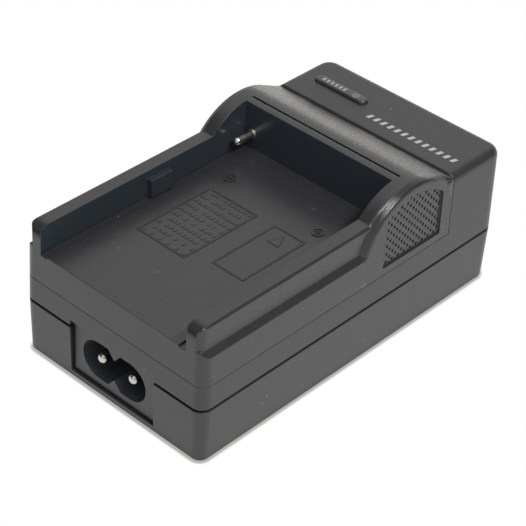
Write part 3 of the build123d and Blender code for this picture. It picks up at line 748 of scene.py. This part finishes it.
class CHARGER_OT_arch_slope(bpy.types.Operator):
    """Slope that carries the arch's crown down to the head"""

    bl_idname = "charger.arch_slope"
    bl_label = "Arch slope"

    def execute(self, context):
        marks = context.scene.charger_marks
        looks = context.scene.charger_finishes
        plastic = moulded_plastic("slope_plastic", looks.plate, looks.plate_satin, edge=0.0).material
        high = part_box("battery_plate")[1]
        axis_y, axis_z = marks.arch_axis
        start_y = axis_y + marks.slope_start
        end_y = high.y
        radius = high.z - axis_z
        rise = math.sqrt(radius ** 2 - marks.slope_start ** 2)
        start_z = axis_z + rise
        lean = marks.slope_start / rise
        run = end_y - start_y
        bend = (start_z - lean * run - marks.slope_end) / run ** 2
        half = marks.slope_half_width
        end_r = marks.slope_end_radius
        sunk = 0.3 * MM
        wall = 0.2 * MM
        film = 0.002 * MM
        rows = 24
        turns = 10
        across = [half - end_r + end_r * math.sin(math.pi / 2 * i / turns) for i in range(turns + 1)]
        across = [-x for x in reversed(across)] + across
        mesh = bmesh.new()
        top, under = [], []
        for i in range(rows + 1):
            y = start_y + run * i / rows
            t = y - start_y
            crown = axis_z + math.sqrt(radius ** 2 - (y - axis_y) ** 2)
            deep = max(crown, marks.land_level) - sunk
            crest = start_z - lean * t - bend * t * t
            line, floor = [], []
            for x in across:
                u = max(0.0, (abs(x) - half + end_r) / end_r)
                share = math.sqrt(max(0.0, 1.0 - u * u))
                line.append(mesh.verts.new((x, y, deep + (crest - deep) * share + film)))
                floor.append(mesh.verts.new((x, y, deep - wall)))
            top.append(line)
            under.append(floor)
        for i in range(rows):
            for j in range(len(across) - 1):
                mesh.faces.new((top[i][j], top[i][j + 1], top[i + 1][j + 1], top[i + 1][j])).smooth = True
                mesh.faces.new((under[i][j], under[i + 1][j], under[i + 1][j + 1], under[i][j + 1]))
            for j in (0, len(across) - 1):
                mesh.faces.new((top[i][j], top[i + 1][j], under[i + 1][j], under[i][j]))
        for i in (0, rows):
            for j in range(len(across) - 1):
                mesh.faces.new((top[i][j], top[i][j + 1], under[i][j + 1], under[i][j]))
        slope = mesh_piece("arch_slope", mesh, plastic)
        slope.data.set_sharp_from_angle(angle=math.radians(50.0))
        keep(slope)
        return {"FINISHED"}


class CHARGER_OT_inlet(bpy.types.Operator):
    """Finish of the mains inlet and its pins"""

    bl_idname = "charger.inlet"
    bl_label = "Mains inlet"

    def execute(self, context):
        looks = context.scene.charger_finishes
        face_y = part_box("inlet_block")[0].y
        inlet_plastic(looks.inlet, looks.satin + 0.04, face_y).put_on("inlet_block")
        plated_metal("mains_pin_metal", [0.7 * c for c in looks.pins], 0.08).put_on("inlet_pins")
        return {"FINISHED"}


class CHARGER_OT_head_print(bpy.types.Operator):
    """Row of slanted bars printed on the head"""

    bl_idname = "charger.head_print"
    bl_label = "Head print"

    def execute(self, context):
        marks = context.scene.charger_marks
        ink = printed_ink("white_ink", context.scene.charger_finishes.ink).material
        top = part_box("upper_case")[1].z
        place = (marks.bar_start[0], marks.bar_start[1], top + marks.bar_size[2] / 2)
        size = marks.bar_size
        bars = bar_row("head_print", marks.bar_count, marks.bar_pitch, size, marks.slant, place, ink)
        keep(bars)
        return {"FINISHED"}


class CHARGER_OT_window(bpy.types.Operator):
    """Smoked window of the indicator with its printed bars"""

    bl_idname = "charger.window"
    bl_label = "Indicator window"

    def execute(self, context):
        smoked_window((0.045, 0.045, 0.048), -8.6 * MM, 1.9 * MM).put_on("indicator_lens")
        low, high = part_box("indicator_lens")
        ink = printed_ink("grey_ink", (0.34, 0.34, 0.34)).material
        size = (0.62 * MM, 1.05 * MM, 0.02 * MM)
        place = (low.x + 2.2 * MM, (low.y + high.y) / 2, high.z + size[2] / 2)
        keep(bar_row("window_print", 6, 1.15 * MM, size, 0.0, place, ink))
        return {"FINISHED"}


class CHARGER_OT_floor_marks(bpy.types.Operator):
    """Raised dashes and polarity signs on the cradle floor"""

    bl_idname = "charger.floor_marks"
    bl_label = "Floor marks"

    def execute(self, context):
        marks = context.scene.charger_marks
        looks = context.scene.charger_finishes
        satin = looks.plate_satin
        plastic = moulded_plastic("mark_plastic", looks.plate, satin, dust=0.0, edge=0.0).material
        level = marks.floor_level
        sunk = 0.05 * MM
        dash = (0.85 * MM, 0.95 * MM, marks.relief + sunk)
        place = (-6.5 * MM, -14.5 * MM, level + (marks.relief - sunk) / 2)
        dashes = dash_block("floor_dashes", 11, 10, (11.2 * MM, 18.4 * MM), dash, 0.8, 7, place, plastic)
        keep(dashes)
        signs = bmesh.new()
        line = 0.3 * MM
        low, high = level - sunk, level + marks.sign_relief
        arm = 1.3 * MM
        ring_sign(signs, (-12.8 * MM, 1.2 * MM), marks.sign_radius, line, low, high, [(arm, line)])
        cross = [(arm, line), (line, arm)]
        ring_sign(signs, (12.1 * MM, 0.4 * MM), marks.sign_radius, line, low, high, cross)
        keep(mesh_piece("polarity_signs", signs, plastic))
        return {"FINISHED"}


class CHARGER_OT_electronics(bpy.types.Operator):
    """Finishes of the circuit board and the parts on it"""

    bl_idname = "charger.electronics"
    bl_label = "Electronics"

    def execute(self, context):
        tin = (0.62, 0.62, 0.60)
        black = (0.025, 0.025, 0.026)
        board_laminate((0.52, 0.40, 0.19), (0.60, 0.42, 0.26)).put_on("circuit_board")
        leg = 0.55 * MM
        for node in ("switching_controller", "optocoupler", "charge_controller"):
            low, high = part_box(node)
            body = ((high.x - low.x) / 2 + MM, (high.y - low.y) / 2 - leg)
            leaded_part(node + "_finish", node, black, body, tin).put_on(node)
        rings = [(-1.6 * MM, (0.45, 0.12, 0.05)), (0.0, (0.03, 0.03, 0.03)), (1.6 * MM, (0.50, 0.36, 0.08))]
        cathode = [(1.9 * MM, (0.6, 0.6, 0.6))]
        bodies = (
            ("resistor_finish", "resistors", (0.50, 0.36, 0.20), (3.0 * MM, 1.2 * MM), rings),
            ("diode_finish", "bridge_diodes", black, (2.6 * MM, 1.4 * MM), cathode),
            ("output_diode_finish", "output_diode", black, (4.0 * MM, 2.3 * MM), cathode),
            ("fuse_finish", "fuse", (0.70, 0.68, 0.62), (2.4 * MM, 1.6 * MM), ()),
        )
        for name, node, colour, body, bands in bodies:
            leaded_part(name, node, colour, body, tin, bands).put_on(node)
        stripe = (0.42, 0.44, 0.46)
        for node in ("bulk_capacitor", "output_capacitor"):
            capacitor_sleeve(node + "_finish", node, (0.02, 0.03, 0.09), stripe, tin).put_on(node)
        moulded_plastic("film_box", (0.62, 0.46, 0.05), 0.3).put_on("suppression_capacitor")
        ground_ferrite((0.055, 0.055, 0.06)).put_on("transformer_core", "input_choke")
        moulded_plastic("bobbin_plastic", (0.03, 0.03, 0.03), 0.45).put_on("transformer_bobbin")
        wound_tape((0.75, 0.52, 0.05)).put_on("transformer_winding")
        moulded_plastic("lamp_plastic", (0.55, 0.05, 0.04), 0.15).put_on("indicator_led")
        return {"FINISHED"}


class CHARGER_OT_studio(bpy.types.Operator):
    """Table, light and camera"""

    bl_idname = "charger.studio"
    bl_label = "Studio"

    def execute(self, context):
        studio = context.scene.charger_studio
        context.scene.view_settings.view_transform = "Standard"
        make_table(studio)
        make_sky()
        make_lamps()
        make_camera(studio)
        return {"FINISHED"}


def make_table(studio):
    """Pale round table: white to the camera and in reflections, with a shadow where the charger stands."""
    table = bmesh.new()
    bmesh.ops.create_circle(table, cap_ends=True, segments=96, radius=4.0)
    material = bpy.data.materials.new("table_top")
    material.use_nodes = True
    graph = Graph(material.node_tree)
    graph.tree.nodes.clear()
    path = graph.tree.nodes.new("ShaderNodeLightPath")
    to_camera = Field(graph, path.outputs["Is Camera Ray"])
    to_gloss = Field(graph, path.outputs["Is Glossy Ray"])
    to_glass = Field(graph, path.outputs["Is Transmission Ray"])
    seen = to_camera.either(to_gloss.either(to_glass))
    lean = graph.add("ShaderNodeCombineXYZ", (), tuple(studio.shadow_side))
    reach = {"Distance": studio.shadow_reach, "Normal": lean}
    clear = graph.add("ShaderNodeAmbientOcclusion", {"samples": 12}, reach, "AO").above(0.72, 0.24)
    bright = graph.blend(to_camera, studio.glow, (1.0, 1.0, 1.0))
    white = graph.add("ShaderNodeEmission", (), {"Color": graph.blend(1.0 - clear, bright, studio.shadow)})
    matt = graph.add("ShaderNodeBsdfDiffuse", (), {"Color": rgba(studio.table)})
    out = graph.tree.nodes.new("ShaderNodeOutputMaterial")
    graph.plug(out.inputs["Surface"], graph.add("ShaderNodeMixShader", (), [seen, matt, white]))
    mesh_piece("table", table, material)


def heading(azimuth, elevation):
    """Unit vector; azimuth 0 looks from the front, 90 from the right."""
    a, e = math.radians(azimuth), math.radians(elevation)
    return Vector((math.sin(a) * math.cos(e), -math.cos(a) * math.cos(e), math.sin(e)))


def make_sky():
    """Soft surroundings: brighter overhead, a warm light low behind, and dark screens around."""
    world = bpy.data.worlds.new("studio")
    world.use_nodes = True
    bpy.context.scene.world = world
    graph = Graph(world.node_tree)
    direction = graph.add("ShaderNodeTexCoord", output="Generated")

    def towards(azimuth, elevation, inner, outer):
        """1 within the inner angle of a direction and 0 outside the outer one."""
        dot = graph.add(
            "ShaderNodeVectorMath", {"operation": "DOT_PRODUCT"},
            [direction, heading(azimuth, elevation)], "Value")
        low, high = math.cos(math.radians(outer)), math.cos(math.radians(inner))
        return dot.above((low + high) / 2, (high - low) / 2)

    z = graph.axes(direction)[2]
    level = 0.54 + z.above(0.45, 0.5) * 0.48
    warm = towards(212.0, -2.0, 2.0, 13.0)
    level = level + warm * 2.3
    for azimuth, elevation, inner, outer, dark in DARK_SCREENS:
        level = level * (1.0 - towards(azimuth, elevation, inner, outer) * dark)
    green = level * (0.99 - warm * 0.05)
    blue = level * (0.975 - warm * 0.12)
    tint = graph.add("ShaderNodeCombineXYZ", (), [level, green, blue])
    path = graph.tree.nodes.new("ShaderNodeLightPath")
    seen = Field(graph, path.outputs["Is Camera Ray"])
    colour = graph.blend(seen, tint, (1.0, 1.0, 1.0))
    graph.plug(graph.tree.nodes["Background"].inputs["Color"], colour)


def make_lamp(name, place, target, size, watts, colour):
    """Soft lamp of a width and a height, aimed at a point."""
    data = bpy.data.lights.new(name, "AREA")
    data.shape = "RECTANGLE"
    data.size, data.size_y = size
    data.energy = watts
    data.color = colour
    lamp = bpy.data.objects.new(name, data)
    lamp.location = place
    lamp.rotation_mode = "QUATERNION"
    lamp.rotation_quaternion = (target - place).to_track_quat("-Z", "Y")
    bpy.context.scene.collection.objects.link(lamp)


def make_lamps():
    """A small lamp above on the right for glints on edges and pins."""
    middle = Vector((0.0, 0.0, 0.02))
    place = middle + heading(82.0, 54.0) * 0.6
    make_lamp("glint_lamp", place, middle, (0.22, 0.05), 2.4, (1.0, 0.98, 0.95))


def make_camera(studio):
    """Camera at the photograph's view."""
    back = heading(math.degrees(studio.azimuth), math.degrees(studio.elevation))
    level_right = Vector((math.cos(studio.azimuth), math.sin(studio.azimuth), 0.0))
    level_up = back.cross(level_right)
    right = level_right * math.cos(studio.roll) + level_up * math.sin(studio.roll)
    up = level_up * math.cos(studio.roll) - level_right * math.sin(studio.roll)
    data = bpy.data.cameras.new("camera")
    data.lens = studio.focal_length
    data.sensor_width = 36.0
    data.clip_start = 0.01
    data.clip_end = 20.0
    camera = bpy.data.objects.new("camera", data)
    turn = Matrix((right, up, back)).transposed().to_4x4()
    camera.matrix_world = Matrix.Translation(Vector(studio.target) + back * studio.distance) @ turn
    bpy.context.scene.collection.objects.link(camera)
    bpy.context.scene.camera = camera


class CHARGER_PT_panel(bpy.types.Panel):
    """Sidebar panel of the charger"""

    bl_idname = "CHARGER_PT_panel"
    bl_label = "Camera battery charger"
    bl_space_type = "VIEW_3D"
    bl_region_type = "UI"
    bl_category = "Charger"

    def draw(self, context):
        for operator in OPERATORS:
            self.layout.operator(operator.bl_idname)
        for key in GROUPS:
            group = getattr(context.scene, key)
            box = self.layout.box()
            for name in group.__annotations__:
                box.prop(group, name)


OPERATORS = (
    CHARGER_OT_case,
    CHARGER_OT_plate,
    CHARGER_OT_arch_slope,
    CHARGER_OT_inlet,
    CHARGER_OT_head_print,
    CHARGER_OT_window,
    CHARGER_OT_floor_marks,
    CHARGER_OT_electronics,
    CHARGER_OT_studio,
)
GROUPS = {
    "charger_finishes": ChargerFinishes,
    "charger_marks": ChargerMarks,
    "charger_studio": ChargerStudio,
}


def register():
    for group in GROUPS.values():
        bpy.utils.register_class(group)
    for name, group in GROUPS.items():
        setattr(bpy.types.Scene, name, PointerProperty(type=group))
    for operator in OPERATORS:
        bpy.utils.register_class(operator)
    bpy.utils.register_class(CHARGER_PT_panel)


def unregister():
    bpy.utils.unregister_class(CHARGER_PT_panel)
    for operator in reversed(OPERATORS):
        bpy.utils.unregister_class(operator)
    for name in GROUPS:
        delattr(bpy.types.Scene, name)
    for group in reversed(GROUPS.values()):
        bpy.utils.unregister_class(group)


def main():
    """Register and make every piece."""
    register()
    bpy.ops.charger.case()
    bpy.ops.charger.plate()
    bpy.ops.charger.arch_slope()
    bpy.ops.charger.inlet()
    bpy.ops.charger.head_print()
    bpy.ops.charger.window()
    bpy.ops.charger.floor_marks()
    bpy.ops.charger.electronics()
    bpy.ops.charger.studio()


if __name__ == "__main__":
    main()
